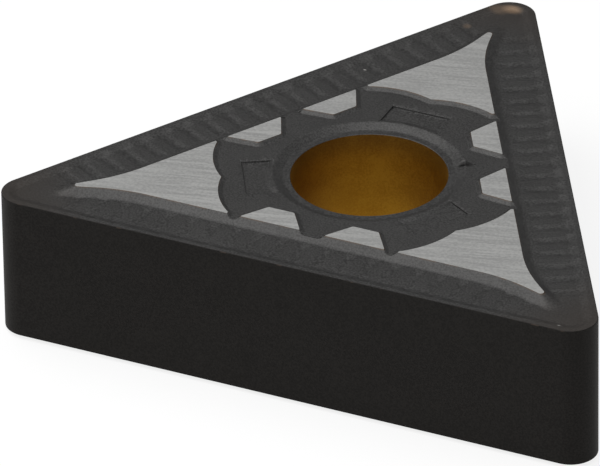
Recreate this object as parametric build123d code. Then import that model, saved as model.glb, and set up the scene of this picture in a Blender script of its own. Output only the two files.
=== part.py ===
from build123d import *
import os
from math import cos, radians, sin, sqrt, tan

# A triangular, double-sided turning insert of sintered carbide, in millimetres and degrees.
# The origin is at the middle of the bore, halfway up. +Z runs along the bore, and one of the
# three sides faces -Y, so the corners point along 90, 210 and 330 degrees.

# Whole insert
inscribed_circle = 15.875  # circle that touches the three sides
insert_thickness = 6.35  # from the pads of one face to the cutting edges of the other
bore_diameter = 6.35
nose_radius = 1.1
corner_count = 3

# Heights, each measured from the plane of the cutting edges
pad_rise = 0.17  # the pads stand above the cutting edges
web_rise = 0.055  # the web between the pads
groove_depth = 0.08  # the floor of the chip groove lies below them

# Cutting edge and chip groove, measured inwards from a side
edge_bevel = 0.03  # hone along the cutting edge
land_width = 0.28  # flat behind the cutting edge
rake_run = 0.30  # slope from the land down to the groove floor

# Notches across the chip groove, each with a wider dent at its outer end
notch_pitch = 0.987
notches_each_way = 10  # on each side of the notch at the middle of a side
notch_width = 0.36  # at the groove floor
notch_depth = 0.042  # below the groove floor, of the dents too
notch_slope = 15.0  # of its sides and inner end, above the level
notch_inner_end = 1.98  # distance from the side
dent_inset = 0.58  # from a side to the centres of the dents
dent_floor_reach = 0.12  # from a dent's centre to its walls, at its floor
dent_slope = 19.0  # of a dent's wall, above the level

# Island that carries the pads
pad_inset = 2.515  # from a side to the outer edge of the pads
island_slope = 34.0  # of its outer wall, above the level
horn_start = 7.25  # along a side from its middle, where the pad edge bends to the nose
horn_bend_radius = 7.3
horn_turn = 18.0
horn_tip_radius = 0.13  # at the pad plane
ridge_foot_radius = 0.37  # at the foot of the ridge that runs on from the horn

# Web with its channels, and the inner walls of the pads
pad_slope = 31.0
cusp_reach = 5.95  # from the bore axis to the cusp of a corner pad's inner edge
scallop_radius = 3.9  # of the two hollows on either side of the cusp
scallop_spread = 1.3  # from the corner's centre line to a hollow's centre
corner_pad_start = 3.74  # along a side from its middle
channel_corner_radius = 0.12

# Small pads, two beside the middle of each side
small_pad_offset = 1.85  # along a side from its middle to the pad's centre line
small_pad_outer_half = 1.28
small_pad_inner_half = 0.56
small_pad_depth = 1.10  # across the pad, in from its outer edge
small_pad_spread = 34.4  # angle of its slanted ends from square

# Bore mouth: a funnel, a level ledge and a small bevel
mouth_diameter = 7.74  # of the funnel, at the web
mouth_slope = 25.0  # of the funnel, below the level
ledge_diameter = 6.98  # at the funnel's foot
bore_bevel = 0.075

# Recessed panels and index mark
panel_reach = 5.05  # from the bore axis to a panel's outer edge
panel_half_width = 1.27
panel_depth = 0.08
panel_draft = 45.0  # of a panel's walls, from upright
index_angle = 33.0  # round the bore, from +X
index_reach = 3.86
index_turn = -38.0  # from the radial direction to the mark's long side
index_length = 0.62
index_width = 0.26
index_depth = 0.12
index_draft = 35.0

side_distance = inscribed_circle / 2
corner_half_angle = 90 - 180 / corner_count
edge_z = (insert_thickness - pad_rise) / 2
pad_z = edge_z + pad_rise
web_z = edge_z + web_rise
floor_z = edge_z - groove_depth
corner_turns = [360 / corner_count * corner for corner in range(corner_count)]


def at_each_corner(shape):
    return [Rot(0, 0, turn) * shape for turn in corner_turns]


def level(sketch, z):
    return Pos(0, 0, z) * sketch


def rounded_triangle(inset):
    """The insert's outline, moved in from its sides, with its noses rounded."""
    triangle = RegularPolygon(side_distance - inset, corner_count, major_radius=False, rotation=90)
    return fillet(triangle.vertices(), nose_radius - inset)


def blank():
    """The upper half of the plain insert, with a honed cutting edge."""
    prism = extrude(rounded_triangle(0), edge_z)
    cutting_edges = prism.faces().sort_by(Axis.Z)[-1].edges()
    return chamfer(cutting_edges, edge_bevel)


def groove():
    """What the chip groove takes away: a shallow dish with sloping sides."""
    rim = level(rounded_triangle(land_width), edge_z)
    floor = level(rounded_triangle(land_width + rake_run), floor_z)
    return loft([floor, rim], ruled=True)


def pocket(width, length, depth, slope):
    """What a rectangular pocket with sloping walls takes away, centred below the origin."""
    run = depth / tan(radians(slope))
    form = Wedge(width, depth, length, run, run, width - run, length - run)
    return Pos(0, 0, -depth / 2) * Rot(-90, 0, 0) * form


def notch(along):
    """A shallow notch in the groove floor, from the floor of a dent towards the island."""
    outer_end = dent_inset - notch_depth / tan(radians(notch_slope))
    length = notch_inner_end - outer_end
    place = Pos(along, outer_end + length / 2 - side_distance, floor_z)
    return place * pocket(notch_width, length, notch_depth, notch_slope)


def dent(along):
    """An eight-sided dent that scoops the rake and the edge of the land."""
    depth = groove_depth + notch_depth
    width = 2 * (dent_floor_reach + depth / tan(radians(dent_slope)))
    square = pocket(width, width, depth, dent_slope)
    return Pos(along, dent_inset - side_distance, edge_z) * (square & Rot(0, 0, 45) * square)


def notches():
    """All notches and dents of one face."""
    places = [notch_pitch * step for step in range(-notches_each_way, notches_each_way + 1)]
    one_side = [notch(along) for along in places] + [dent(along) for along in places]
    return [turned for form in one_side for turned in at_each_corner(form)]


def island_outline(inset, tip_radius):
    """Outline of the island at one level: straight along the sides, with a horn at each nose."""
    side_y = inset - side_distance
    bend_radius = horn_bend_radius - (pad_inset - inset)
    bend_centre = (horn_start, side_y - bend_radius)
    bend_end = (
        bend_centre[0] + bend_radius * sin(radians(horn_turn)),
        bend_centre[1] + bend_radius * cos(radians(horn_turn)),
    )
    bend_middle = (
        bend_centre[0] + bend_radius * sin(radians(horn_turn / 2)),
        bend_centre[1] + bend_radius * cos(radians(horn_turn / 2)),
    )
    horn_slope = tan(radians(horn_turn))
    centre_line_slope = tan(radians(corner_half_angle))
    tip_x = (bend_end[1] + horn_slope * bend_end[0]) / (horn_slope - centre_line_slope)
    tip = (tip_x, -centre_line_slope * tip_x)

    half = Line((0, side_y), (horn_start, side_y))
    half += ThreePointArc((horn_start, side_y), bend_middle, bend_end)
    half += Line(bend_end, tip)
    side = half + mirror(half, Plane.YZ)
    face = make_face(Curve() + at_each_corner(side))
    tips = face.vertices().group_by(lambda vertex: Vector(vertex.X, vertex.Y).length)[-1]
    return fillet(tips, tip_radius)


def island():
    """The raised middle before its web is sunk, from the groove floor to the pad plane."""
    wall_run = (pad_rise + groove_depth) / tan(radians(island_slope))
    foot = level(island_outline(pad_inset - wall_run, ridge_foot_radius), floor_z)
    top = level(island_outline(pad_inset, horn_tip_radius), pad_z)
    return loft([foot, top], ruled=True)


def drafted(sketch):
    """A pad's inner form: its outline at the pad plane, widening downwards to the web."""
    return extrude(level(sketch, pad_z), pad_z - web_z, dir=(0, 0, -1), taper=pad_slope - 90)


def small_pad(offset):
    """Slanted ends and inner edge of a small pad, run on outwards past the island's wall."""
    outer_y = pad_inset - side_distance
    inner_y = outer_y + small_pad_depth
    slant = (small_pad_outer_half - small_pad_inner_half) / tan(radians(small_pad_spread))
    shoulder_y = inner_y - slant
    inner_corners = [(offset - small_pad_inner_half, inner_y), (offset + small_pad_inner_half, inner_y)]
    right = [(offset + small_pad_outer_half, shoulder_y), (offset + small_pad_outer_half, -side_distance)]
    left = [(offset - small_pad_outer_half, -side_distance), (offset - small_pad_outer_half, shoulder_y)]
    face = make_face(Polyline(inner_corners + right + left, close=True))
    pad_corners = face.vertices().sort_by(Axis.Y)[len(right):]
    return drafted(fillet(pad_corners, channel_corner_radius))


def corner_pad():
    """Inner edge of a corner pad, two hollows that meet in a cusp, run on past the nose."""
    scallop_centre = cusp_reach - sqrt(scallop_radius**2 - scallop_spread**2)
    half_angle = radians(corner_half_angle)
    centre_x = scallop_centre * cos(half_angle) - scallop_spread * sin(half_angle)
    centre_y = -scallop_centre * sin(half_angle) - scallop_spread * cos(half_angle)
    shoulder_y = centre_y - sqrt(scallop_radius**2 - (corner_pad_start - centre_x) ** 2)
    shoulder = Vector(corner_pad_start, shoulder_y).rotate(Axis.Z, corner_half_angle)
    outside = Vector(corner_pad_start, -side_distance).rotate(Axis.Z, corner_half_angle)
    middle = (scallop_centre + scallop_radius, -scallop_spread)

    half = ThreePointArc((cusp_reach, 0), middle, (shoulder.X, shoulder.Y))
    half += Line((shoulder.X, shoulder.Y), (outside.X, outside.Y))
    half += Line((outside.X, outside.Y), (inscribed_circle, outside.Y))
    half += Line((inscribed_circle, outside.Y), (inscribed_circle, 0))
    face = make_face(half + mirror(half, Plane.XZ))
    return drafted(Rot(0, 0, -corner_half_angle) * face)


def web():
    """What is sunk between the pads, with the channels that run out through the island's wall."""
    slab = Cylinder(inscribed_circle, pad_z - web_z, align=(Align.CENTER, Align.CENTER, Align.MIN))
    pads = at_each_corner(corner_pad())
    pads += at_each_corner(small_pad(small_pad_offset))
    pads += at_each_corner(small_pad(-small_pad_offset))
    return Pos(0, 0, web_z) * slab - pads


def sunk(sketch, depth, draft):
    """A shallow drafted recess in the web."""
    return extrude(level(sketch, web_z), depth, dir=(0, 0, -1), taper=draft)


def panels():
    """Three plain recesses in the web, one towards each corner, open to the bore mouth."""
    length = panel_reach - bore_diameter / 2
    outline = Pos(panel_reach - length / 2, 0) * Rectangle(length, 2 * panel_half_width)
    return at_each_corner(sunk(Rot(0, 0, -corner_half_angle) * outline, panel_depth, panel_draft))


def index_mark():
    """A short notch across the edge of the bore mouth that marks one corner."""
    outline = Rot(0, 0, index_turn) * Rectangle(index_length, index_width)
    place = Rot(0, 0, index_angle) * Pos(index_reach, 0)
    return sunk(place * outline, index_depth, index_draft)


def bore():
    """The clamping bore with its mouth."""
    radius = bore_diameter / 2
    mouth = mouth_diameter / 2
    ledge = ledge_diameter / 2
    ledge_z = web_z - (mouth - ledge) * tan(radians(mouth_slope))
    wall = [(0, 0), (radius, 0), (radius, ledge_z - bore_bevel), (radius + bore_bevel, ledge_z)]
    funnel = [(ledge, ledge_z), (mouth, web_z), (mouth, pad_z), (0, pad_z)]
    return revolve(Plane.XZ * make_face(Polyline(wall + funnel, close=True)), Axis.Z)


def upper_half():
    half = blank() - groove() - notches()
    half += island() - web()
    return half - panels() - index_mark() - bore()


def insert_body():
    half = upper_half()
    return half + mirror(half, Plane.XY)


os.makedirs("parts", exist_ok=True)
export_step(insert_body(), "parts/insert_body.step")
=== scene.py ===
from math import cos, radians, sin, sqrt, tan

import bpy
import numpy as np
from mathutils import Matrix, Vector
from mathutils.geometry import delaunay_2d_cdt


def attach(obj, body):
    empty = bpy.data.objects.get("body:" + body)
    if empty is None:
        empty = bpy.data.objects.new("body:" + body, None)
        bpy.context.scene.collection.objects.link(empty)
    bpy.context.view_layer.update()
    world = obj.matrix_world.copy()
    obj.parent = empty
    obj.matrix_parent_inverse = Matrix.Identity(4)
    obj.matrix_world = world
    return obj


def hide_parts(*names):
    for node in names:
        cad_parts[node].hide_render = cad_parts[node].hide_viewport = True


MM = 0.001

# The insert, in millimetres and degrees. The origin is at the middle of the bore and one side
# faces -Y. Heights on a face are from the plane of its cutting edges, insets are from a side,
# starts are along a side from its middle, and reaches are from the bore's axis.
SIDE_DISTANCE = 7.9375
SIDE_AZIMUTHS = (270.0, 30.0, 150.0)
NOSE_AZIMUTHS = (330.0, 90.0, 210.0)
CORNER_TURNS = (0.0, 120.0, 240.0)
HALF_CORNER = 30.0
NOSE_RADIUS = 1.1
HONE_RADIUS = 0.035
EDGE_Z = 3.09
PAD_RISE = 0.17
WEB_RISE = 0.055

# Chip groove: land, rake and floor
GROOVE_DEPTH = 0.08
LAND_WIDTH = 0.28
RAKE_RUN = 0.30
LAND_BLEND = 0.014
RAKE_FOOT_BLEND = 0.016

# Notches across the groove, fading towards the noses; a dent lies at the outer end of each
NOTCH_PITCH = 0.987
NOTCHES_EACH_WAY = 10
NOTCH_WIDTH = 0.54
NOTCH_DEPTH = 0.042
NOTCH_SLOPE = 10.5
NOTCH_END_SLOPE = 6.0
NOTCH_INNER_END = 2.06
NOTCH_END_BLEND = 0.012
NOTCH_FLOOR_BLEND = 0.008
NOTCH_EDGE_BLEND = 0.008
NO_NOTCH_HEIGHT = 1.0
FADE_START = 6.6
FADE_LENGTH = 4.4
FADE_SHARE = 0.55
DENT_INSET = 0.58
DENT_FLOOR_RADIUS = 0.08
DENT_SLOPE = 7.8
DENT_OUTER_STEEPNESS = 2.6
DENT_FLOOR_BLEND = 0.02
DENT_EDGE_BLEND = 0.010

# Island: straight along the sides, bent to a horn at each nose, with a ridge beyond the horn
PAD_INSET = 2.515
ISLAND_SLOPE = 34.0
HORN_START = 7.25
HORN_BEND_RADIUS = 7.3
HORN_TURN = 18.0
HORN_TIP_RADIUS = 0.13
RIDGE_FOOT_RADIUS = 0.37
WALL_TOP_BLEND = 0.012
WALL_TOP_FADE = 0.03
LEAST_BLEND = 1e-6
WALL_FOOT_BLEND = 0.07

# Inner edges of the three corner pads and the six small pads
PAD_SLOPE = 31.0
PAD_FOOT_BLEND = 0.016
CUSP_REACH = 5.95
SCALLOP_RADIUS = 3.9
SCALLOP_SPREAD = 1.3
CORNER_PAD_START = 3.74
PAD_CORNER_RADIUS = 0.12
SMALL_PAD_OFFSET = 1.85
SMALL_PAD_OUTER_HALF = 1.28
SMALL_PAD_INNER_HALF = 0.56
SMALL_PAD_DEPTH = 1.10
SMALL_PAD_SPREAD = 34.4

# Bore and its mouth: a funnel, a level ledge and a small bevel
BORE_RADIUS = 3.175
MOUTH_RADIUS = 3.87
MOUTH_SLOPE = 25.0
LEDGE_RADIUS = 3.49
BORE_BEVEL = 0.02
LEDGE_BLEND = 0.02
BEVEL_BLEND = 0.01
MOUTH_BLEND = 0.02

# Recessed panels; the end beside the mouth is PANEL_EASE times less steep than the walls
PANEL_INNER_RADIUS = 3.94
PANEL_EASE = 10.0
PANEL_REACH = 5.05
PANEL_HALF_WIDTH = 1.27
PANEL_DEPTH = 0.08
PANEL_SLOPE = 76.0
PANEL_BLEND = 0.03

# Index mark beside the mouth; its draft is from upright
INDEX_ANGLE = 33.0
INDEX_REACH = 3.86
INDEX_TURN = -38.0
INDEX_HALF_LENGTH = 0.31
INDEX_HALF_WIDTH = 0.13
INDEX_DEPTH = 0.12
INDEX_DRAFT = 35.0
INDEX_FLOOR_BLEND = 0.03
INDEX_EDGE_BLEND = 0.012

# Places worked out from the sizes
BISECTOR = np.array([cos(radians(HALF_CORNER)), -sin(radians(HALF_CORNER))])
BESIDE_BISECTOR = np.array((BISECTOR[1], -BISECTOR[0]))
NOSE_REACH = 2 * (SIDE_DISTANCE - NOSE_RADIUS)
NOSE_CENTRE = NOSE_REACH * BISECTOR
WALL_DROP = PAD_RISE + GROOVE_DEPTH
WALL_RUN = WALL_DROP / tan(radians(ISLAND_SLOPE))
PAD_EDGE_Y = PAD_INSET - SIDE_DISTANCE
BEND_CENTRE = np.array([HORN_START, PAD_EDGE_Y - HORN_BEND_RADIUS])
HORN_OUT = np.array([-sin(radians(HORN_TURN)), -cos(radians(HORN_TURN))])
BEND_END = BEND_CENTRE - HORN_BEND_RADIUS * HORN_OUT
TIP_HALF = HALF_CORNER - HORN_TURN
TIP_REACH = (HORN_OUT @ BEND_END) / (HORN_OUT @ BISECTOR)
TIP_CENTRE = TIP_REACH - HORN_TIP_RADIUS / sin(radians(TIP_HALF))
TIP_GROWTH = RIDGE_FOOT_RADIUS - HORN_TIP_RADIUS
TIP_ADVANCE = (WALL_RUN - TIP_GROWTH) / sin(radians(TIP_HALF))
SCALLOP_CENTRE = CUSP_REACH - sqrt(SCALLOP_RADIUS**2 - SCALLOP_SPREAD**2)
PANEL_RUN = PANEL_DEPTH / tan(radians(PANEL_SLOPE))

# Where a sixth of a face has its points. Columns are from the middle of a notch, island rows are
# shares of the way down the wall, and pad and panel rows are distances from an outline.
SIXTH_TURN = (-90.0, -HALF_CORNER)
PITCH_COLUMNS = (0.0, 0.043, 0.10, 0.16, 0.215, 0.27, 0.33, 0.41)
GROOVE_ROWS = (0.08, 0.13, 0.18, 0.23, 0.28, 0.31, 0.37, 0.43, 0.50, 0.57, 0.64, 0.69,
               0.735, 0.79, 0.84, 0.90, 1.20, 1.52, 1.60, 1.70, 1.80, 1.87, 1.94, 2.00)
PLAIN_ROWS = (0.20, 0.25, 0.28, 0.31, 0.37, 0.44, 0.51, 0.55, 0.58, 0.61, 0.66, 0.80, 0.95)
ISLAND_ROWS = (0.0, 0.08, 0.5, 0.72, 0.79, 0.86, 0.93, 1.0, 1.07, 1.14, 1.21, 1.28)
PAD_FOOT_ROWS = (0.10, 0.165, 0.19, 0.215, 0.25)
PANEL_ROWS = (-0.009, 0.01, 0.029)
MOUTH_RINGS = (3.195, 3.23, 3.33, 3.44, 3.49, 3.54, 3.81, 3.85, 3.89, 3.93)
CLEAR_OF_WALL = 1.34
CLEAR_OF_PADS = 0.08
CLEAR_OF_BORDER = 0.012
CLEAR_OF_MOUTH = 4.1
LEAST_NOSE_RING = 0.1
NOSE_LINE_LENGTH = 1.2
SIDE_SPACING = 0.3
PLAIN_SPACING = 0.25
PAD_SPACING = 0.2
PANEL_SPACING = 0.1
FILL_SPACING = 0.45
FILL_STAGGER = 0.1
FILL_END = (11.0, -5.3)
MOUTH_TURN_STEP = 2.5
OUTLINE_TURN_STEP = 5
NOSE_TURN_STEP = 8
BEND_TURN_STEP = 1.5
TIP_TURN_STEP = 13
PAD_TURN_STEP = 12
SCALLOP_TURN_STEP = 3

# Accuracy of the mesh, and how near places count as one
HEIGHT_TOLERANCE = 0.0015
REFINEMENTS = 4
BORDER_REFINEMENTS = 6
SLOPE_STEP = 0.003
ON_BORDER = 1e-7
OFF_BORDER = 1e-5
SAME_POINT = 1e-5
SAME_PLACE = 1e-6
SAME_LEVEL = 1e-4
BORE_TOLERANCE = 1e-4
LEAST_AREA = 1e-9
MERGE_DECIMALS = 5
MERGE_OFFSET = 0.0000023
HONE_ROWS = 3
BORE_ROWS = 9

COATING, GROUND, GOLD, FLANK = range(4)


def smooth_max(a, b, blend):
    share = np.clip(0.5 + 0.5 * (a - b) / blend, 0.0, 1.0)
    return b + (a - b) * share + blend * share * (1.0 - share)


def smooth_min(a, b, blend):
    return -smooth_max(-a, -b, blend)


def across_bisector(points):
    """How far points lie past the bisector, out of the sixth; negative within it."""
    return points[..., 0] * -BISECTOR[1] + points[..., 1] * BISECTOR[0]


def from_bore(x, y):
    """Distances along the bisector and to the side of it."""
    return x * BISECTOR[0] + y * BISECTOR[1], -x * BISECTOR[1] + y * BISECTOR[0]


def fold(x, y):
    """Folds a point of a face into the sixth between a side's middle and a nose."""
    best = None
    for azimuth in SIDE_AZIMUTHS:
        turn = radians(azimuth)
        out = x * cos(turn) + y * sin(turn)
        along = -x * sin(turn) + y * cos(turn)
        if best is None:
            best, run = out, along
        else:
            run = np.where(out > best, along, run)
            best = np.maximum(out, best)
    return np.abs(run), -best


def island_fall(x, y):
    """0 at the island's upper edge, 1 at its foot, negative inside."""
    from_bend_x, from_bend_y = x - BEND_CENTRE[0], y - BEND_CENTRE[1]
    straight = PAD_EDGE_Y - y
    bend = HORN_BEND_RADIUS - np.hypot(from_bend_x, from_bend_y)
    horn = (x - BEND_END[0]) * HORN_OUT[0] + (y - BEND_END[1]) * HORN_OUT[1]
    angle = np.degrees(np.arctan2(from_bend_x, from_bend_y))
    out = np.where(x < HORN_START, straight, np.where(angle < HORN_TURN, bend, horn))
    fall = out / WALL_RUN

    # The ridge is a cone: its circles grow and move towards the nose on the way down
    u, v = from_bore(x, y)
    gap = u - TIP_CENTRE
    a = TIP_ADVANCE**2 - TIP_GROWTH**2
    b = TIP_ADVANCE * gap + TIP_GROWTH * HORN_TIP_RADIUS
    c = gap**2 + v**2 - HORN_TIP_RADIUS**2
    cone = (b - np.sqrt(np.maximum(b * b - a * c, 0.0))) / a
    radius = HORN_TIP_RADIUS + TIP_GROWTH * cone
    ahead = gap - TIP_ADVANCE * cone >= radius * sin(radians(TIP_HALF))
    return np.where(ahead & (u > TIP_CENTRE), np.maximum(cone, fall), fall)


def small_pad_corners(inset):
    """A small pad's outline, moved in: half width, shoulder's y, and inner corner's x and y."""
    spread = radians(SMALL_PAD_SPREAD)
    inner_y = PAD_EDGE_Y + SMALL_PAD_DEPTH
    outer_x = SMALL_PAD_OUTER_HALF - inset
    top_y = inner_y - inset
    normal = np.array([cos(spread), sin(spread)])
    reach = normal @ np.array([SMALL_PAD_INNER_HALF, inner_y]) - inset
    top_x = (reach - normal[1] * top_y) / normal[0]
    shoulder_y = (reach - normal[0] * outer_x) / normal[1]
    return outer_x, shoulder_y, top_x, top_y


def small_pad_distance(x, y):
    """Distance outside a small pad's rounded outline, at the pad plane."""
    outer_x, shoulder_y, top_x, top_y = small_pad_corners(PAD_CORNER_RADIUS)
    px = np.abs(x - SMALL_PAD_OFFSET)
    corners = [(outer_x, -SIDE_DISTANCE), (outer_x, shoulder_y), (top_x, top_y), (0.0, top_y)]
    nearest = np.full(np.shape(x), np.inf)
    past = np.full(np.shape(x), -np.inf)
    for (ax, ay), (bx, by) in zip(corners[:-1], corners[1:]):
        ex, ey = bx - ax, by - ay
        wx, wy = px - ax, y - ay
        share = np.clip((wx * ex + wy * ey) / (ex * ex + ey * ey), 0, 1)
        nearest = np.minimum(nearest, np.hypot(wx - ex * share, wy - ey * share))
        past = np.maximum(past, (wx * ey - wy * ex) / sqrt(ex * ex + ey * ey))
    return np.where(past > 0, nearest, -nearest) - PAD_CORNER_RADIUS


def corner_pad_distance(x, y):
    """Distance outside a corner pad's inner edge, at the pad plane."""
    u, v = from_bore(x, y)
    hollow = SCALLOP_RADIUS - np.hypot(u - SCALLOP_CENTRE, np.abs(v) - SCALLOP_SPREAD)
    return np.maximum(hollow, CORNER_PAD_START - x)


def pad_distance(x, y):
    return np.minimum(small_pad_distance(x, y), corner_pad_distance(x, y))


def groove_height(x, y):
    """Height of the chip groove with its notches and dents, at a folded point."""
    inset = y + SIDE_DISTANCE
    nose_inset = NOSE_RADIUS - np.hypot(x - NOSE_CENTRE[0], y - NOSE_CENTRE[1])
    edge_inset = np.where(x > NOSE_CENTRE[0], nose_inset, inset)
    rake = -(edge_inset - LAND_WIDTH) * (GROOVE_DEPTH / RAKE_RUN)
    dish = smooth_max(smooth_min(rake, 0.0, LAND_BLEND), -GROOVE_DEPTH, RAKE_FOOT_BLEND)

    step = np.clip(np.round(x / NOTCH_PITCH), 0, NOTCHES_EACH_WAY)
    off = x - step * NOTCH_PITCH
    fade = 1.0 - FADE_SHARE * np.clip((x - FADE_START) / FADE_LENGTH, 0.0, 1.0)
    low = -GROOVE_DEPTH - NOTCH_DEPTH * fade
    side = (np.abs(off) - NOTCH_WIDTH / 2) * tan(radians(NOTCH_SLOPE))
    end = (inset - NOTCH_INNER_END) * tan(radians(NOTCH_END_SLOPE))
    notch = -GROOVE_DEPTH + smooth_max(side, end, NOTCH_END_BLEND)
    notch = smooth_max(notch, low, NOTCH_FLOOR_BLEND)
    notch = np.where(inset < DENT_INSET, NO_NOTCH_HEIGHT, notch)

    steepness = np.where(inset < DENT_INSET, DENT_OUTER_STEEPNESS, 1.0)
    from_dent = np.hypot(off, steepness * (inset - DENT_INSET))
    dent_rise = (from_dent - DENT_FLOOR_RADIUS) * tan(radians(DENT_SLOPE))
    dent = smooth_max(low + dent_rise, low, DENT_FLOOR_BLEND)
    return smooth_min(smooth_min(dish, notch, NOTCH_EDGE_BLEND), dent, DENT_EDGE_BLEND)


def panelled_height(radius, x, y):
    """Height of the web with its panels, at a folded point and its distance from the axis."""
    u, v = from_bore(x, y)
    inward = np.minimum(PANEL_REACH - u, PANEL_HALF_WIDTH - np.abs(v))
    inward = np.minimum(inward, (radius - PANEL_INNER_RADIUS) / PANEL_EASE)
    panel = WEB_RISE - inward * tan(radians(PANEL_SLOPE))
    panel = smooth_max(panel, WEB_RISE - PANEL_DEPTH, PANEL_BLEND)
    return smooth_min(WEB_RISE, panel, PANEL_BLEND)


def mouth_height(radius):
    """Height of the funnel, the ledge and the bevel."""
    slope = tan(radians(MOUTH_SLOPE))
    ledge = WEB_RISE - (MOUTH_RADIUS - LEDGE_RADIUS) * slope
    funnel = smooth_max(WEB_RISE - (MOUTH_RADIUS - radius) * slope, ledge, LEDGE_BLEND)
    bevel = ledge - (BORE_RADIUS + BORE_BEVEL - radius)
    return smooth_min(funnel, bevel, BEVEL_BLEND)


def index_height(x, y):
    """Height of the index mark's walls and floor; above the web outside it."""
    turn = radians(INDEX_ANGLE)
    x = x - INDEX_REACH * cos(turn)
    y = y - INDEX_REACH * sin(turn)
    turn = radians(INDEX_ANGLE + INDEX_TURN)
    along = x * cos(turn) + y * sin(turn)
    across = -x * sin(turn) + y * cos(turn)
    inward = np.minimum(INDEX_HALF_LENGTH - np.abs(along), INDEX_HALF_WIDTH - np.abs(across))
    mark = WEB_RISE - inward / tan(radians(INDEX_DRAFT))
    return smooth_max(mark, WEB_RISE - INDEX_DEPTH, INDEX_FLOOR_BLEND)


def height(x, y, ground_flat=True):
    """Height of the upper face; ground_flat cuts the rounded tops of the pads to their plane."""
    fx, fy = fold(x, y)
    radius = np.hypot(x, y)
    web = smooth_min(panelled_height(radius, fx, fy), mouth_height(radius), MOUTH_BLEND)
    web = smooth_min(web, index_height(x, y), INDEX_EDGE_BLEND)
    pads = PAD_RISE - pad_distance(fx, fy) * tan(radians(PAD_SLOPE))
    inner = smooth_max(pads, web, PAD_FOOT_BLEND)
    wall = PAD_RISE - WALL_DROP * island_fall(fx, fy)
    below_pads = np.clip((PAD_RISE - np.maximum(inner, wall)) / WALL_TOP_FADE, 0.0, 1.0)
    top = smooth_min(inner, wall, WALL_TOP_BLEND * below_pads + LEAST_BLEND)
    if ground_flat:
        top = np.minimum(top, PAD_RISE)
    whole = smooth_max(top, groove_height(fx, fy), WALL_FOOT_BLEND)
    return np.where(radius < MOUTH_RADIUS, top, whole)


def face_normals(x, y):
    """Normals of the moulded face, from the slope of its height."""
    step = SLOPE_STEP
    slope_x = (height(x + step, y, False) - height(x - step, y, False)) / (2 * step)
    slope_y = (height(x, y + step, False) - height(x, y - step, False)) / (2 * step)
    normal = np.stack([-slope_x, -slope_y, np.ones_like(x)], 1)
    return normal / np.linalg.norm(normal, axis=1, keepdims=True)


def evenly(start, end, step):
    """Values from start to end, at most a step apart."""
    count = max(1, int(np.ceil(abs(end - start) / step)))
    return np.linspace(start, end, count + 1)


def turn_points(centre, radius, start, end, step):
    """Points along an arc; the angles are in degrees."""
    angles = np.radians(evenly(start, end, step))
    return np.stack([centre[0] + radius * np.cos(angles), centre[1] + radius * np.sin(angles)], 1)


def line_points(a, b, step):
    share = evenly(0.0, 1.0, step / np.hypot(b[0] - a[0], b[1] - a[1]))[:, None]
    return np.asarray(a) * (1 - share) + np.asarray(b) * share


def row_points(columns, inset):
    return np.stack([columns, np.full(len(columns), inset - SIDE_DISTANCE)], 1)


def outline_points():
    """The line where the hone meets the face, from a side's middle to the bisector."""
    edge_y = HONE_RADIUS - SIDE_DISTANCE
    straight = line_points((0.0, edge_y), (NOSE_CENTRE[0], edge_y), SIDE_SPACING)
    nose = turn_points(NOSE_CENTRE, NOSE_RADIUS - HONE_RADIUS, *SIXTH_TURN, OUTLINE_TURN_STEP)
    return np.concatenate([straight, nose[1:]])


def island_points(fall):
    """A line of equal height round the island's wall."""
    out = fall * WALL_RUN
    y = PAD_EDGE_Y - out
    stops = [0.0, SMALL_PAD_OFFSET - SMALL_PAD_OUTER_HALF, SMALL_PAD_OFFSET + SMALL_PAD_OUTER_HALF]
    stops += [CORNER_PAD_START, HORN_START]
    parts = [line_points((a, y), (b, y), SIDE_SPACING) for a, b in zip(stops[:-1], stops[1:])]
    bend_radius = HORN_BEND_RADIUS - out
    parts.append(turn_points(BEND_CENTRE, bend_radius, 90, 90 - HORN_TURN, BEND_TURN_STEP))
    tip_centre = (TIP_CENTRE + TIP_ADVANCE * fall) * BISECTOR
    tip_radius = HORN_TIP_RADIUS + TIP_GROWTH * fall
    tip_start = -HALF_CORNER - (90 - TIP_HALF)
    tip = turn_points(tip_centre, tip_radius, tip_start, -HALF_CORNER, TIP_TURN_STEP)
    parts.append(line_points(parts[-1][-1], tip[0], PAD_SPACING))
    parts.append(tip)
    points = np.concatenate(parts)
    apart = np.hypot(*(points[1:] - points[:-1]).T) > SAME_PLACE
    return points[np.concatenate([[True], apart])]


def small_pad_points(away):
    """A small pad's rounded outline, moved out, from one end of its outer edge to the other."""
    outer_x, shoulder_y, top_x, top_y = small_pad_corners(PAD_CORNER_RADIUS)
    radius = PAD_CORNER_RADIUS + away
    shoulder = turn_points((outer_x, shoulder_y), radius, 0, SMALL_PAD_SPREAD, PAD_TURN_STEP)
    corner = turn_points((top_x, top_y), radius, SMALL_PAD_SPREAD, 90, PAD_TURN_STEP)
    bends = np.concatenate([[(outer_x + radius, PAD_EDGE_Y)], shoulder, corner])
    parts = [line_points(a, b, PAD_SPACING)[:-1] for a, b in zip(bends[:-1], bends[1:])]
    right = np.concatenate(parts + [bends[-1:]])
    left = right[::-1] * (-1, 1)
    inner_edge = line_points(right[-1], left[0], PAD_SPACING)[1:-1]
    return np.concatenate([right, inner_edge, left]) + (SMALL_PAD_OFFSET, 0)


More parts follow.
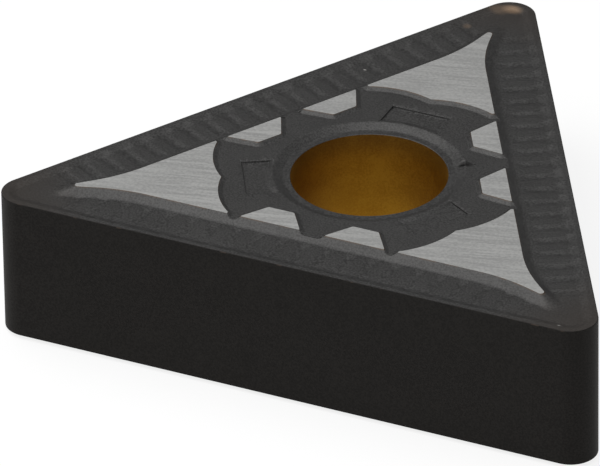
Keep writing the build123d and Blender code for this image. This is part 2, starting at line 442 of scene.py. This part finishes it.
def corner_pad_points(away):
    """Inner edge of a corner pad, moved out, from the island's edge to the bisector."""
    x = CORNER_PAD_START - away
    radius = SCALLOP_RADIUS - away
    centre = SCALLOP_CENTRE * BISECTOR + SCALLOP_SPREAD * BESIDE_BISECTOR
    shoulder_y = centre[1] - np.sqrt(radius**2 - (x - centre[0]) ** 2)
    start = np.degrees(np.arctan2(shoulder_y - centre[1], x - centre[0]))
    cusp = (SCALLOP_CENTRE + np.sqrt(radius**2 - SCALLOP_SPREAD**2)) * BISECTOR
    end = np.degrees(np.arctan2(cusp[1] - centre[1], cusp[0] - centre[0]))
    straight = line_points((x, PAD_EDGE_Y), (x, shoulder_y), PANEL_SPACING)
    hollow = turn_points(centre, radius, start, end, SCALLOP_TURN_STEP)
    return np.concatenate([straight[:-1], hollow])


def panel_sides(inward):
    """A panel's side and half its outer edge, moved in, from beside the mouth to the bisector."""
    half_width = PANEL_HALF_WIDTH - inward
    reach = PANEL_REACH - inward
    radius = PANEL_INNER_RADIUS + PANEL_EASE * max(inward, 0.0)
    start = sqrt(radius**2 - half_width**2) * BISECTOR + half_width * BESIDE_BISECTOR
    corner = reach * BISECTOR + half_width * BESIDE_BISECTOR
    side = line_points(start, corner, PANEL_SPACING)
    outer_edge = line_points(corner, reach * BISECTOR, PANEL_SPACING)
    return np.concatenate([side[:-1], outer_edge])


def panel_points(inward):
    """Half of a panel's outline, moved in: along the mouth, the side and the outer edge."""
    sides = panel_sides(inward)
    turn = np.degrees(np.arctan2(sides[0][1], sides[0][0]))
    end = turn_points((0, 0), np.hypot(*sides[0]), -HALF_CORNER, turn, MOUTH_TURN_STEP)
    return np.concatenate([end[:-1], sides])


def border_points(direction, end):
    """Points along a straight border of the sixth, close enough to follow its height."""
    reach = evenly(BORE_RADIUS, end, SIDE_SPACING)
    shares = np.array([[0.25], [0.5], [0.75]])
    for _ in range(BORDER_REFINEMENTS):
        a, b = reach[:-1], reach[1:]
        between = a + (b - a) * shares
        found = height(between * direction[0], between * direction[1])
        ends = height(reach * direction[0], reach * direction[1])
        error = np.abs(found - (ends[:-1] * (1 - shares) + ends[1:] * shares)).max(0)
        reach = np.sort(np.concatenate([reach, ((a + b) / 2)[error > HEIGHT_TOLERANCE]]))
    return reach[1:-1, None] * direction


def notch_columns():
    """Distances along a side at which the groove's rows have points."""
    columns = set()
    for step in range(NOTCHES_EACH_WAY + 1):
        columns.add(round((step + 0.5) * NOTCH_PITCH, 6))
        for away in PITCH_COLUMNS:
            columns.add(round(step * NOTCH_PITCH + away, 6))
            columns.add(round(step * NOTCH_PITCH - away, 6))
    return np.array([column for column in sorted(columns) if column >= 0])


def groove_points():
    """Points of the chip groove, clear of the island's wall."""
    columns = notch_columns()
    plain = evenly(columns[-1], NOSE_CENTRE[0], PLAIN_SPACING)[1:]
    parts = [row_points(columns, row) for row in GROOVE_ROWS]
    for row in PLAIN_ROWS:
        parts.append(row_points(plain, row))
        if NOSE_RADIUS - row > LEAST_NOSE_RING:
            ring = turn_points(NOSE_CENTRE, NOSE_RADIUS - row, *SIXTH_TURN, NOSE_TURN_STEP)
            parts.append(ring[1:])
    inner_end = (NOSE_REACH - NOSE_LINE_LENGTH) * BISECTOR
    parts.append(line_points(NOSE_CENTRE, inner_end, PAD_SPACING))
    points = np.concatenate(parts)
    return points[island_fall(*points.T) > CLEAR_OF_WALL]


def pad_foot_points():
    """Points along the feet of the pads' inner walls."""
    rows = []
    for away in PAD_FOOT_ROWS:
        rows += [small_pad_points(away), corner_pad_points(away)]
    rows = np.concatenate(rows)
    clear = pad_distance(*rows.T) > CLEAR_OF_PADS
    return rows[clear & (rows[:, 1] > PAD_EDGE_Y + SAME_PLACE)]


def fill_points():
    """A staggered grid over the web and the pads."""
    across = np.arange(0.0, FILL_END[0], FILL_SPACING)
    grid = np.meshgrid(across, np.arange(FILL_END[1], 0.0, FILL_SPACING))
    points = np.stack([grid[0].ravel(), grid[1].ravel()], 1)
    points[1::2, 0] += FILL_STAGGER
    return points[np.hypot(*points.T) > CLEAR_OF_MOUTH]


def sixth_plan():
    """Chains of points that edges follow, and the other points, of a sixth of a face."""
    chains = [outline_points()]
    chains += [island_points(fall) for fall in ISLAND_ROWS]
    chains += [small_pad_points(0.0), corner_pad_points(0.0)]
    chains += [panel_points(0.0), panel_points(PANEL_RUN)]
    chains.append(turn_points((0, 0), BORE_RADIUS, *SIXTH_TURN, MOUTH_TURN_STEP))

    parts = [groove_points(), pad_foot_points()]
    parts += [panel_sides(inward) for inward in PANEL_ROWS]
    parts += [turn_points((0, 0), radius, *SIXTH_TURN, MOUTH_TURN_STEP) for radius in MOUTH_RINGS]
    parts.append(fill_points())
    points = np.concatenate(parts)
    within = (points[:, 0] > CLEAR_OF_BORDER) & (across_bisector(points) < -CLEAR_OF_BORDER)
    middle = border_points(np.array([0.0, -1.0]), SIDE_DISTANCE - HONE_RADIUS)
    mitre = border_points(BISECTOR, NOSE_REACH + NOSE_RADIUS - HONE_RADIUS)
    return chains, np.concatenate([points[within], middle, mitre])


def plan_area(a, b, c):
    """Signed areas of triangles in plan."""
    first, second = b - a, c - a
    return (first[:, 0] * second[:, 1] - first[:, 1] * second[:, 0]) / 2


def triangulate(chains, points):
    """Triangles of a sixth of a face, with an edge along every chain."""
    coords = [tuple(point) for chain in chains for point in chain]
    edges = []
    start = 0
    for chain in chains:
        edges += [(start + i, start + i + 1) for i in range(len(chain) - 1)]
        start += len(chain)
    coords += [tuple(point) for point in points]
    plan = np.array(coords)
    middle = np.where(np.abs(plan[:, 0]) < ON_BORDER)[0]
    middle = middle[np.argsort(plan[middle, 1])]
    mitre = np.where(np.abs(across_bisector(plan)) < ON_BORDER)[0]
    mitre = mitre[np.argsort(plan[mitre] @ BISECTOR)]
    for line in (middle, mitre):
        edges += [(int(a), int(b)) for a, b in zip(line[:-1], line[1:])]

    found = delaunay_2d_cdt([Vector(point) for point in coords], edges, [], 0, SAME_POINT)
    exact = [coords[given[0]] if given else tuple(point) for point, given in zip(found[0], found[3])]
    plan = np.array(exact)
    faces = np.array(found[2])
    a, b, c = (plan[faces[:, i]] for i in range(3))
    area = plan_area(a, b, c)
    middle = (a + b + c) / 3
    in_nose = np.hypot(*(middle - NOSE_CENTRE).T) < NOSE_RADIUS - HONE_RADIUS
    along_side = (middle[:, 0] < NOSE_CENTRE[0]) & (middle[:, 1] > HONE_RADIUS - SIDE_DISTANCE)
    inside = in_nose | along_side
    inside &= (middle[:, 0] > 0) & (across_bisector(middle) < 0) & (np.abs(area) > LEAST_AREA)
    inside &= np.max([np.hypot(*p.T) for p in (a, b, c)], axis=0) > BORE_RADIUS + BORE_TOLERANCE
    inside &= np.max(plan[faces][:, :, 0], axis=1) > OFF_BORDER
    inside &= np.min(across_bisector(plan[faces]), axis=1) < -OFF_BORDER
    faces = faces[inside]
    flip = area[inside] < 0
    faces[flip] = faces[flip][:, ::-1]
    return plan, faces


def refined_sixth():
    """The sixth with points added wherever a triangle's middle strays from the height."""
    chains, points = sixth_plan()
    for _ in range(REFINEMENTS):
        plan, faces = triangulate(chains, points)
        middle = plan[faces].mean(1)
        error = np.abs(height(*middle.T) - height(*plan.T)[faces].mean(1))
        points = np.concatenate([points, middle[error > HEIGHT_TOLERANCE]])
    return triangulate(chains, points)


def turned(points, degrees):
    """Points of a plan, turned about the bore's axis."""
    angle = radians(degrees)
    return points @ np.array([[cos(angle), sin(angle)], [-sin(angle), cos(angle)]])


def closed_ring(half):
    """A ring round the insert, from its part between a side's middle and the bisector."""
    side = np.concatenate([(half * (-1, 1))[:0:-1], half[:-1]])
    return np.concatenate([turned(side, degrees) for degrees in CORNER_TURNS])


def outward_directions(ring):
    """Which way the flanks and noses face at the points of the outline."""
    fx, fy = fold(*ring.T)
    out = np.zeros_like(ring)
    for azimuth in SIDE_AZIMUTHS:
        normal = np.array([cos(radians(azimuth)), sin(radians(azimuth))])
        out[ring @ normal > -fy - SAME_PLACE] = normal
    for azimuth in NOSE_AZIMUTHS:
        centre = NOSE_REACH * np.array([cos(radians(azimuth)), sin(radians(azimuth))])
        from_nose = ring - centre
        reach = np.hypot(*from_nose.T)
        in_nose = (reach < NOSE_RADIUS) & (fx > NOSE_CENTRE[0] - SAME_PLACE)
        out[in_nose] = from_nose[in_nose] / reach[in_nose][:, None]
    return out


class Builder:
    """Collects points, triangles, their slots and their corners' normals."""

    def __init__(self):
        self.points, self.faces, self.slots, self.normals = [], [], [], []
        self.count = 0

    def add(self, points, faces, slots, normals):
        self.points.append(points)
        self.faces.append(faces + self.count)
        self.slots.append(slots)
        self.normals.append(normals)
        self.count += len(points)

    def add_strip(self, rows, normals, slot):
        """Joins closed rings of points to a surface; the normals go with the points."""
        columns = rows.shape[1]
        faces = []
        for row in range(len(rows) - 1):
            a = row * columns + np.arange(columns)
            b = row * columns + (np.arange(columns) + 1) % columns
            c, d = a + columns, b + columns
            faces += [np.stack([a, c, b], 1), np.stack([b, c, d], 1)]
        faces = np.concatenate(faces)
        corners = normals.reshape(-1, 3)[faces]
        self.add(rows.reshape(-1, 3), faces, np.full(len(faces), slot), corners)

    def add_face(self, plan, order, up):
        """Adds a part of the upper face (up is 1) or the lower face (up is -1)."""
        x, y = plan.T
        z = height(x, y)
        corners = face_normals(x, y)[order]
        level = (z[order] > PAD_RISE - SAME_LEVEL).all(1)
        corners[level] = (0.0, 0.0, 1.0)
        corners[:, :, 2] *= up
        if up < 0:
            order = order[:, ::-1]
            corners = corners[:, ::-1]
        points = np.stack([x, y, up * (EDGE_Z + z)], 1)
        self.add(points, order, np.where(level, GROUND, COATING), corners)

    def add_faces(self):
        plan, faces = refined_sixth()
        for up in (1, -1):
            for degrees in CORNER_TURNS:
                self.add_face(turned(plan, degrees), faces, up)
                self.add_face(turned(plan * (-1, 1), degrees), faces[:, ::-1], up)

    def add_flanks(self):
        """Adds the flanks and noses between the two honed edges."""
        ring = closed_ring(outline_points())
        out = outward_directions(ring)
        rows, normals = [], []
        for up in (1, -1):
            for step in range(HONE_ROWS + 1)[::up]:
                lean = radians(90 * step / HONE_ROWS)
                z = EDGE_Z - HONE_RADIUS * (1 - cos(lean))
                flat = ring + out * HONE_RADIUS * sin(lean)
                rows.append(np.column_stack([flat, np.full(len(ring), up * z)]))
                normals.append(np.column_stack([out * sin(lean), np.full(len(ring), up * cos(lean))]))
        self.add_strip(np.array(rows), np.array(normals), FLANK)

    def add_bore(self):
        ring = closed_ring(turn_points((0, 0), BORE_RADIUS, *SIXTH_TURN, MOUTH_TURN_STEP))
        top = EDGE_Z + height(*ring.T)
        inward = np.column_stack([-ring / BORE_RADIUS, 0 * top])
        rows = [np.column_stack([ring, top * share]) for share in np.linspace(-1, 1, BORE_ROWS)]
        self.add_strip(np.array(rows), np.array([inward] * BORE_ROWS), GOLD)


def insert_mesh(name):
    """The whole insert as one closed mesh."""
    builder = Builder()
    builder.add_faces()
    builder.add_flanks()
    builder.add_bore()
    points = np.concatenate(builder.points)
    faces = np.concatenate(builder.faces)
    slots = np.concatenate(builder.slots)
    corners = np.concatenate(builder.normals)

    # Points that lie in one place are merged; the offset keeps them from rounding apart
    rounded = np.round(points + MERGE_OFFSET, MERGE_DECIMALS)
    _, first, place = np.unique(rounded, axis=0, return_index=True, return_inverse=True)
    points = points[first]
    faces = place.reshape(-1)[faces]
    whole = (faces != np.roll(faces, 1, axis=1)).all(1)
    faces, slots, corners = faces[whole], slots[whole], corners[whole]

    mesh = bpy.data.meshes.new(name)
    mesh.vertices.add(len(points))
    mesh.vertices.foreach_set("co", (points * MM).astype(np.float32).ravel())
    mesh.loops.add(faces.size)
    mesh.loops.foreach_set("vertex_index", faces.astype(np.int32).ravel())
    mesh.polygons.add(len(faces))
    mesh.polygons.foreach_set("loop_start", np.arange(0, faces.size, 3, dtype=np.int32))
    mesh.polygons.foreach_set("loop_total", np.full(len(faces), 3, dtype=np.int32))
    mesh.polygons.foreach_set("material_index", slots.astype(np.int32))
    mesh.polygons.foreach_set("use_smooth", np.ones(len(faces), dtype=bool))
    mesh.update(calc_edges=True)
    mesh.validate()
    mesh.normals_split_custom_set(corners.reshape(-1, 3).tolist())
    return mesh


# Colours are linear. A pair of colours is the dark and the light end of a surface's grain, and a
# pair of numbers is a range. Sizes of grain are in millimetres, and bumps are its depth.
NOISE_MIDDLE = (0.3, 0.7)
TONE_RANGE = (0.32, 0.68)
GRAIN_SIZE = 0.07
GRAIN_SHARE = 0.85
MOTTLE_SHARE = 0.15

# Coating, browner towards the noses, with a bronze line round the ground pads
COAT = ((0.036, 0.0354, 0.0348), (0.068, 0.0670, 0.0661))
COAT_BROWN = (0.047, 0.039, 0.0335)
COAT_MOTTLE_SIZE = 1.3
COAT_METAL = 0.85
COAT_TINT = 0.45
COAT_SPECULAR = 0.3
COAT_ROUGHNESS = (0.44, 0.56)
COAT_BUMP = 0.0012
BROWN_REACH = (11.0, 14.6)
BROWN_SHARE = 0.55
BRONZE = (0.070, 0.052, 0.040)
BRONZE_PATCH_SIZE = 0.6
BRONZE_PATCH_RANGE = (0.42, 0.58)
BRONZE_SHARE = (0.15, 0.9)
BRONZE_BAND = 0.04

# Marks on the upper face: x, y, half-length, half-width and strength
# A painted bronze highlight on the rake near the far nose, tinted like the coating's wear there
BRONZE_HIGHLIGHT_WEAR = (0.20, 0.140, 0.095)
HIGHLIGHT_WEAR_SPOTS = (
    (-0.10, 14.22, 0.58, 0.38, 0.85),
    (-0.60, 14.0, 0.65, 0.45, 0.36),
    (-1.27, 12.31, 0.26, 0.24, 0.33),
)
# A painted shade in the recess of the index mark
INDEX_PAINTED_SHADE = (0.010, 0.0095, 0.009)
INDEX_SHADE_SPOT = (3.24, 2.10, 0.42, 0.22, 0.85)
CHIP = (0.30, 0.29, 0.28)
CHIP_SPOTS = ((11.66, -7.55, 0.10, 0.07, 1.0), (-3.61, 7.40, 0.10, 0.07, 1.0))
SPOT_CORE = 0.2
SPOT_HEIGHT = 4 * PAD_RISE

# Ground pads, with bands and lines drawn out along the grinding
PAD = ((0.278, 0.278, 0.273), (0.362, 0.362, 0.354))
PAD_TONE_RANGE = (0.38, 0.62)
PAD_SPECULAR = 0.5
PAD_ROUGHNESS = (0.40, 0.50)
PAD_BUMP = 0.002
GRINDING_TURN = 15.0
BAND_SIZE = 0.42
BAND_STRETCH = 14.0
BAND_SHARE = 0.25
LINE_SIZE = 0.07
LINE_STRETCH = 25.0
LINE_SHARE = 0.35
PAD_SPOT_SIZE = 0.12
PAD_SPOT_SHARE = 0.4

# Bore wall: gold, darker and duller towards its two ends, partly the coating's edge at the rim and
# partly painted shade
GOLD_COLOURS = ((0.265, 0.125, 0.010), (0.365, 0.19, 0.018))
GOLD_TONE_RANGE = (0.36, 0.64)
GOLD_GRAIN_SIZE = 0.08
GOLD_GRAIN_SHARE = 0.6
GOLD_CLOUD_SIZE = 1.6
GOLD_CLOUD_SHARE = 0.4
GOLD_SPECULAR = 0.1
GOLD_ROUGHNESS = (0.45, 0.55)
GOLD_BUMP = 0.003
RIM_AND_SHADE = (0.050, 0.036, 0.022)
RIM_METAL = 0.3
RIM_SHADE_HEIGHT = (1.6, 2.95)
GOLD_SHARE_AT_RIM = 0.64

# Flanks: the coating darkened as painted shade on the upright sides, with bronze wear on the hone
SHADED_FLANK_COLOURS = ((0.0098, 0.0089, 0.0080), (0.0180, 0.0164, 0.0148))
FLANK_MOTTLE_SIZE = 1.8
FLANK_SPECULAR = 0.1
FLANK_ROUGHNESS = 0.6
FLANK_BUMP = 0.002
HONE_BAND = (-0.05, -0.02)
HONE_WEAR_SIZE = 0.5
HONE_WEAR_RANGE = (0.60, 0.66)
HONE_WEAR_SHARE = 0.5

# Sockets of the Mix node: factor, first and second
MIX_VALUES = (0, 2, 3)
MIX_COLOURS = (0, 6, 7)


class Look:
    """A material and short calls that add nodes to it; sizes and places are in millimetres."""

    def __init__(self, name):
        self.material = bpy.data.materials.new(name)
        self.material.use_nodes = True
        self.tree = self.material.node_tree
        self.shader = self.tree.nodes["Principled BSDF"]
        self.place = self.add("ShaderNodeTexCoord").outputs["Object"]
        split = self.add("ShaderNodeSeparateXYZ")
        self.link(self.place, split.inputs[0])
        self.height = self.math("ABSOLUTE", split.outputs[2])
        across = self.math("POWER", split.outputs[0], 2.0)
        along = self.math("POWER", split.outputs[1], 2.0)
        self.radius = self.math("SQRT", self.math("ADD", across, along))

    def add(self, kind):
        return self.tree.nodes.new(kind)

    def link(self, value, socket):
        """Joins an output to an input, or writes a plain value there."""
        if isinstance(value, bpy.types.NodeSocket):
            self.tree.links.new(value, socket)
        else:
            socket.default_value = value

    def math(self, operation, first, second=0.0):
        node = self.add("ShaderNodeMath")
        node.operation = operation
        self.link(first, node.inputs[0])
        self.link(second, node.inputs[1])
        return node.outputs[0]

    def sum(self, *parts):
        """Adds up outputs, each times its share."""
        total = None
        for value, share in parts:
            scaled = self.math("MULTIPLY", value, share)
            total = scaled if total is None else self.math("ADD", total, scaled)
        return total

    def noise(self, size, detail=2.0, turn=0.0, stretch=1.0):
        """Noise with lumps of the size, drawn out by the stretch along a turned X."""
        place = self.place
        if stretch != 1.0:
            mapping = self.add("ShaderNodeMapping")
            mapping.vector_type = "TEXTURE"
            mapping.inputs["Rotation"].default_value = (0.0, 0.0, radians(turn))
            mapping.inputs["Scale"].default_value = (stretch, 1.0, 1.0)
            self.link(self.place, mapping.inputs[0])
            place = mapping.outputs[0]
        node = self.add("ShaderNodeTexNoise")
        node.inputs["Scale"].default_value = 1.0 / (size * MM)
        node.inputs["Detail"].default_value = detail
        self.link(place, node.inputs["Vector"])
        return node.outputs[0]

    def ramp(self, value, low, high, start=0.0, end=1.0):
        """Start below low, end above high, and a smooth way between."""
        node = self.add("ShaderNodeMapRange")
        node.interpolation_type = "SMOOTHSTEP"
        self.link(value, node.inputs["Value"])
        node.inputs["From Min"].default_value = low
        node.inputs["From Max"].default_value = high
        node.inputs["To Min"].default_value = start
        node.inputs["To Max"].default_value = end
        return node.outputs[0]

    def spot(self, x, y, half_length, half_width, strength):
        """The strength in a soft oval round a point of the upper face, and 0 away from it."""
        shift = self.add("ShaderNodeMapping")
        shift.vector_type = "TEXTURE"
        shift.inputs["Location"].default_value = (x * MM, y * MM, EDGE_Z * MM)
        shift.inputs["Scale"].default_value = (half_length * MM, half_width * MM, SPOT_HEIGHT * MM)
        self.link(self.place, shift.inputs[0])
        length = self.add("ShaderNodeVectorMath")
        length.operation = "LENGTH"
        self.link(shift.outputs[0], length.inputs[0])
        return self.ramp(length.outputs["Value"], SPOT_CORE, 1.0, strength, 0.0)

    def blend(self, share, first, second):
        """Mixes two colours, each an output or a plain colour."""
        node = self.add("ShaderNodeMix")
        node.data_type = "RGBA"
        self.link(share, node.inputs[MIX_COLOURS[0]])
        for colour, index in zip((first, second), MIX_COLOURS[1:]):
            self.link((*colour, 1.0) if isinstance(colour, tuple) else colour, node.inputs[index])
        return node.outputs[2]

    def finish(self, base, roughness, metallic, specular, bump, depth):
        """Sets the shader, with a bump of the depth, and returns the material."""
        self.link(base, self.shader.inputs["Base Color"])
        self.link(roughness, self.shader.inputs["Roughness"])
        self.link(metallic, self.shader.inputs["Metallic"])
        self.shader.inputs["Specular IOR Level"].default_value = specular
        node = self.add("ShaderNodeBump")
        node.inputs["Distance"].default_value = depth * MM
        self.link(bump, node.inputs["Height"])
        self.link(node.outputs[0], self.shader.inputs["Normal"])
        return self.material


def coating_look():
    look = Look("coating")
    grain = look.noise(GRAIN_SIZE, 1.0)
    tone = look.sum((grain, GRAIN_SHARE), (look.noise(COAT_MOTTLE_SIZE), MOTTLE_SHARE))
    base = look.blend(look.ramp(tone, *TONE_RANGE), *COAT)
    toward_nose = look.ramp(look.radius, BROWN_REACH[0] * MM, BROWN_REACH[1] * MM, 0.0, BROWN_SHARE)
    base = look.blend(toward_nose, base, COAT_BROWN)
    patches = look.ramp(look.noise(BRONZE_PATCH_SIZE), *BRONZE_PATCH_RANGE, *BRONZE_SHARE)
    pad_z = (EDGE_Z + PAD_RISE) * MM
    pad_edge = look.ramp(look.height, pad_z - BRONZE_BAND * MM, pad_z)
    base = look.blend(look.math("MULTIPLY", patches, pad_edge), base, BRONZE)
    # Painted bronze highlight near the far nose, in the tint of worn coating
    for spot in HIGHLIGHT_WEAR_SPOTS:
        base = look.blend(look.spot(*spot), base, BRONZE_HIGHLIGHT_WEAR)
    # Painted shade in the index mark's recess
    base = look.blend(look.spot(*INDEX_SHADE_SPOT), base, INDEX_PAINTED_SHADE)
    for spot in CHIP_SPOTS:
        base = look.blend(look.spot(*spot), base, CHIP)
    roughness = look.ramp(grain, *NOISE_MIDDLE, *COAT_ROUGHNESS)
    look.shader.inputs["Specular Tint"].default_value = (COAT_TINT, COAT_TINT, COAT_TINT, 1.0)
    return look.finish(base, roughness, COAT_METAL, COAT_SPECULAR, grain, COAT_BUMP)


def pads_look():
    look = Look("ground_pads")
    bands = look.noise(BAND_SIZE, turn=GRINDING_TURN, stretch=BAND_STRETCH)
    lines = look.noise(LINE_SIZE, turn=GRINDING_TURN, stretch=LINE_STRETCH)
    spots = look.noise(PAD_SPOT_SIZE)
    tone = look.sum((bands, BAND_SHARE), (lines, LINE_SHARE), (spots, PAD_SPOT_SHARE))
    base = look.blend(look.ramp(tone, *PAD_TONE_RANGE), *PAD)
    roughness = look.ramp(lines, *NOISE_MIDDLE, *PAD_ROUGHNESS)
    return look.finish(base, roughness, 1.0, PAD_SPECULAR, lines, PAD_BUMP)


def bore_look():
    look = Look("bore_gold")
    grain = look.noise(GOLD_GRAIN_SIZE, 3.0)
    tone = look.sum((grain, GOLD_GRAIN_SHARE), (look.noise(GOLD_CLOUD_SIZE), GOLD_CLOUD_SHARE))
    gold = look.blend(look.ramp(tone, *GOLD_TONE_RANGE), *GOLD_COLOURS)
    # The gold darkens towards the rims: painted shade, ending at the coating's edge at the very rim
    rim_start, rim_end = (height_mm * MM for height_mm in RIM_SHADE_HEIGHT)
    gold_share = look.ramp(look.height, rim_start, rim_end, 1.0, GOLD_SHARE_AT_RIM)
    base = look.blend(gold_share, RIM_AND_SHADE, gold)
    roughness = look.ramp(grain, *NOISE_MIDDLE, *GOLD_ROUGHNESS)
    metallic = look.ramp(gold_share, 0.0, 1.0, RIM_METAL, 1.0)
    return look.finish(base, roughness, metallic, GOLD_SPECULAR, grain, GOLD_BUMP)


def flank_look():
    look = Look("flank")
    grain = look.noise(GRAIN_SIZE, 1.0)
    tone = look.sum((grain, GRAIN_SHARE), (look.noise(FLANK_MOTTLE_SIZE), MOTTLE_SHARE))
    # The flank's darker colours are painted shade on the upright sides
    base = look.blend(look.ramp(tone, *TONE_RANGE), *SHADED_FLANK_COLOURS)
    hone_start, hone_end = ((EDGE_Z + height_mm) * MM for height_mm in HONE_BAND)
    on_hone = look.ramp(look.height, hone_start, hone_end)
    wear = look.ramp(look.noise(HONE_WEAR_SIZE), *HONE_WEAR_RANGE, 0.0, HONE_WEAR_SHARE)
    base = look.blend(look.math("MULTIPLY", on_hone, wear), base, BRONZE)
    return look.finish(base, FLANK_ROUGHNESS, 0.0, FLANK_SPECULAR, grain, FLANK_BUMP)


# Camera: where it looks from, seen from the middle of the bore, and how far the picture is moved
CAMERA_AZIMUTH = 25.5394
CAMERA_ELEVATION = 31.2651
CAMERA_ROLL = -0.8866
CAMERA_DISTANCE = 442.45
CAMERA_SHIFT = (2.815, -0.201)
CAMERA_LENS = 660.34
CAMERA_SENSOR = 36.0
CAMERA_CLIP = (0.01, 10.0)

# Floor and light
FLOOR_Z = -3.265
FLOOR_SIZE = 900.0
FLOOR_GREY = 0.8
FLOOR_ROUGHNESS = 0.9
KEY_AZIMUTH = 204.0
KEY_ELEVATION = 66.0
KEY_DISTANCE = 200.0
KEY_SIZE = 280.0
KEY_POWER = 0.43
SKY_STRENGTH = 0.3
PALE_LEVEL = 0.75
WHITE_LEVEL = 1.1
WHITE_SHARE = 0.75


def add_camera():
    azimuth = radians(CAMERA_AZIMUTH)
    elevation = radians(CAMERA_ELEVATION)
    roll = radians(CAMERA_ROLL)
    back = Vector((sin(azimuth) * cos(elevation), -cos(azimuth) * cos(elevation), sin(elevation)))
    level_right = Vector((cos(azimuth), sin(azimuth), 0.0))
    level_up = back.cross(level_right)
    right = cos(roll) * level_right + sin(roll) * level_up
    up = -sin(roll) * level_right + cos(roll) * level_up
    place = CAMERA_DISTANCE * back - CAMERA_SHIFT[0] * right - CAMERA_SHIFT[1] * up
    data = bpy.data.cameras.new("photo_camera")
    data.sensor_width = CAMERA_SENSOR
    data.lens = CAMERA_LENS
    data.clip_start, data.clip_end = CAMERA_CLIP
    camera = bpy.data.objects.new("photo_camera", data)
    bpy.context.collection.objects.link(camera)
    turn = Matrix((right, up, back)).transposed().to_4x4()
    camera.matrix_world = Matrix.Translation(place * MM) @ turn
    bpy.context.scene.camera = camera


def add_light():
    azimuth = radians(KEY_AZIMUTH)
    elevation = radians(KEY_ELEVATION)
    toward = Vector((cos(azimuth) * cos(elevation), sin(azimuth) * cos(elevation), sin(elevation)))
    data = bpy.data.lights.new("softbox", "AREA")
    data.shape = "DISK"
    data.size = KEY_SIZE * MM
    data.energy = KEY_POWER
    light = bpy.data.objects.new("softbox", data)
    bpy.context.collection.objects.link(light)
    light.location = toward * KEY_DISTANCE * MM
    light.rotation_euler = toward.to_track_quat("Z", "Y").to_euler()


def seen_straight(tree):
    """1 for what the camera sees, itself or in a mirror or through glass; else 0."""
    path = tree.nodes.new("ShaderNodeLightPath")
    most = path.outputs["Is Camera Ray"]
    for kind in ("Is Glossy Ray", "Is Transmission Ray"):
        larger = tree.nodes.new("ShaderNodeMath")
        larger.operation = "MAXIMUM"
        tree.links.new(most, larger.inputs[0])
        tree.links.new(path.outputs[kind], larger.inputs[1])
        most = larger.outputs[0]
    return most


def add_world():
    """An even sky, paler where it is seen straight."""
    world = bpy.data.worlds.new("studio")
    bpy.context.scene.world = world
    world.use_nodes = True
    tree = world.node_tree
    background = tree.nodes["Background"]
    background.inputs["Color"].default_value = (1.0, 1.0, 1.0, 1.0)
    strength = tree.nodes.new("ShaderNodeMix")
    factor, lit, seen = (strength.inputs[index] for index in MIX_VALUES)
    lit.default_value = SKY_STRENGTH
    seen.default_value = PALE_LEVEL
    tree.links.new(seen_straight(tree), factor)
    tree.links.new(strength.outputs[0], background.inputs["Strength"])


def add_floor():
    """A pale floor that takes the insert's shadow; seen straight, it is lifted to white."""
    bpy.ops.mesh.primitive_plane_add(size=FLOOR_SIZE * MM, location=(0, 0, FLOOR_Z * MM))
    floor = bpy.context.object
    floor.name = "floor"
    material = bpy.data.materials.new("floor_white")
    material.use_nodes = True
    tree = material.node_tree
    shader = tree.nodes["Principled BSDF"]
    shader.inputs["Base Color"].default_value = (FLOOR_GREY, FLOOR_GREY, FLOOR_GREY, 1.0)
    shader.inputs["Roughness"].default_value = FLOOR_ROUGHNESS
    shader.inputs["Specular IOR Level"].default_value = 0.0
    white = tree.nodes.new("ShaderNodeEmission")
    white.inputs["Strength"].default_value = WHITE_LEVEL
    share = tree.nodes.new("ShaderNodeMath")
    share.operation = "MULTIPLY"
    share.inputs[1].default_value = WHITE_SHARE
    mix = tree.nodes.new("ShaderNodeMixShader")
    tree.links.new(seen_straight(tree), share.inputs[0])
    tree.links.new(share.outputs[0], mix.inputs["Fac"])
    tree.links.new(shader.outputs[0], mix.inputs[1])
    tree.links.new(white.outputs[0], mix.inputs[2])
    tree.links.new(mix.outputs[0], tree.nodes["Material Output"].inputs["Surface"])
    floor.data.materials.append(material)


def add_insert():
    """The insert with its looks; the order of its materials is the order of the slots."""
    insert = bpy.data.objects.new("insert", insert_mesh("insert"))
    bpy.context.collection.objects.link(insert)
    for material in (coating_look(), pads_look(), bore_look(), flank_look()):
        insert.data.materials.append(material)
    return insert


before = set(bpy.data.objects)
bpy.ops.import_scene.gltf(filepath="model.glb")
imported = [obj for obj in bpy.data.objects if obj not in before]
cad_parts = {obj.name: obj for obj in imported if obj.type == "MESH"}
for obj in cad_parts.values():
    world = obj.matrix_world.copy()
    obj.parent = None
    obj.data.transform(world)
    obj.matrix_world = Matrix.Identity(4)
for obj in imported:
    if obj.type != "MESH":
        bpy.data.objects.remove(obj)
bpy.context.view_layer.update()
bpy.context.scene.view_settings.view_transform = "Standard"

add_camera()
add_light()
add_world()
add_floor()

insert = add_insert()
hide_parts("insert_body")
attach(insert, "root")
